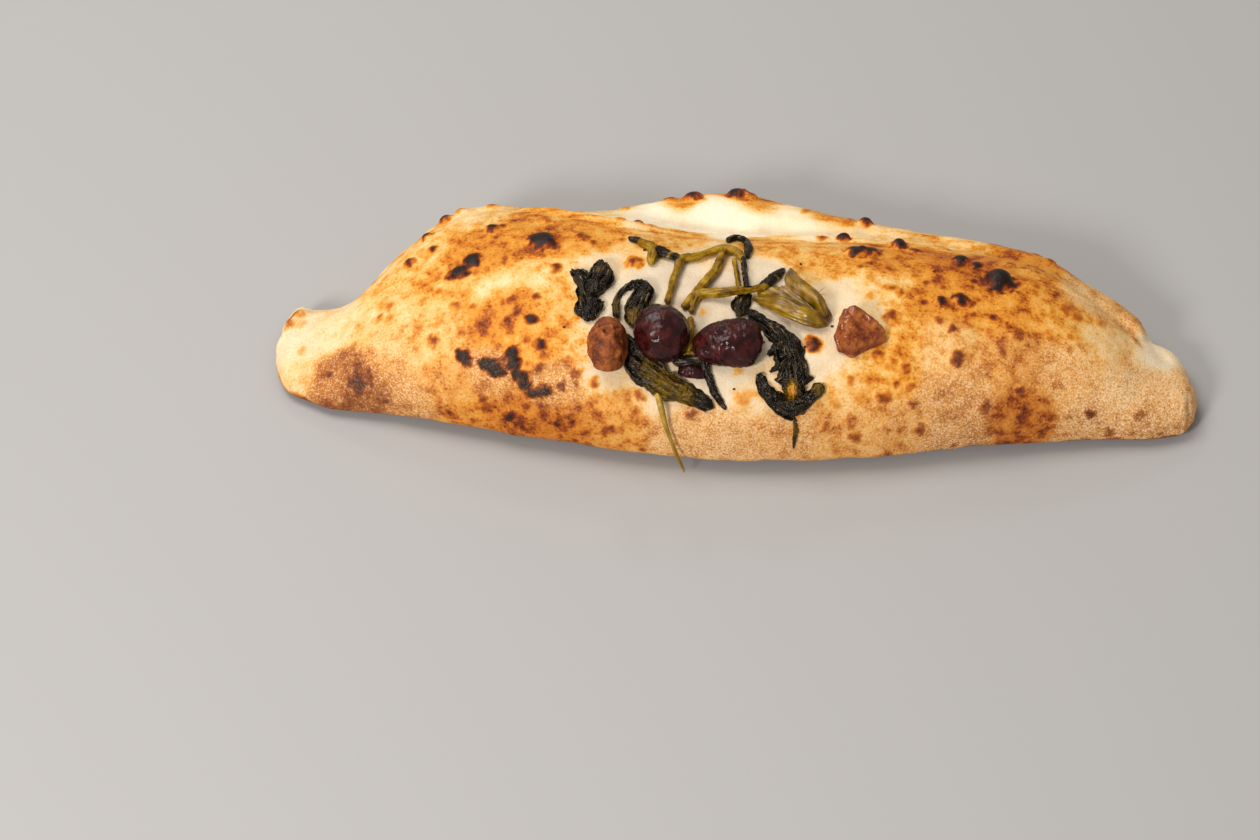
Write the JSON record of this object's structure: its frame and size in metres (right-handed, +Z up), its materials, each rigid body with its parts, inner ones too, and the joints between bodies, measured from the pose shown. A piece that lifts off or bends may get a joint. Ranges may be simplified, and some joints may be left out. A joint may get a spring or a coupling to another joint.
{
  "type": "calzone",
  "caption": "Baked folded pizza with a puffed, blistered crust, a rolled seam along its back, and olives, wilted leaves and a forked stem on its top.",
  "frame": {"origin": "on the flat base, under the middle of the calzone's length and near the middle of its depth", "axes": "+X along the calzone to its right tail, +Y from its front to its rolled seam, +Z up"},
  "size_m": [0.352, 0.1302, 0.0575],
  "materials": {
    "baked_dough": "matte",
    "dark_olive_left": "gloss",
    "dark_olive_right": "gloss",
    "dark_olive_scrap": "gloss",
    "brown_olive": "satin",
    "brown_olive_torn": "gloss",
    "wilted_leaf_left": "satin",
    "wilted_leaf_arch": "satin",
    "wilted_leaf_front": "satin",
    "wilted_leaf_right": "satin",
    "tender_leaf": "gloss",
    "forked_stem": "satin",
    "front_stem": "satin"
  },
  "bodies": {
    "root": {"crust": "baked_dough", "olive_dark_left": "dark_olive_left", "olive_dark_right": "dark_olive_right", "olive_dark_scrap": "dark_olive_scrap", "olive_brown": "brown_olive", "olive_torn": "brown_olive_torn", "leaf_left": "wilted_leaf_left", "leaf_arch": "wilted_leaf_arch", "leaf_front": "wilted_leaf_front", "leaf_right": "wilted_leaf_right", "leaf_green": "tender_leaf", "stem_forked": "forked_stem", "stem_front": "front_stem"}
  },
  "joints": []
}
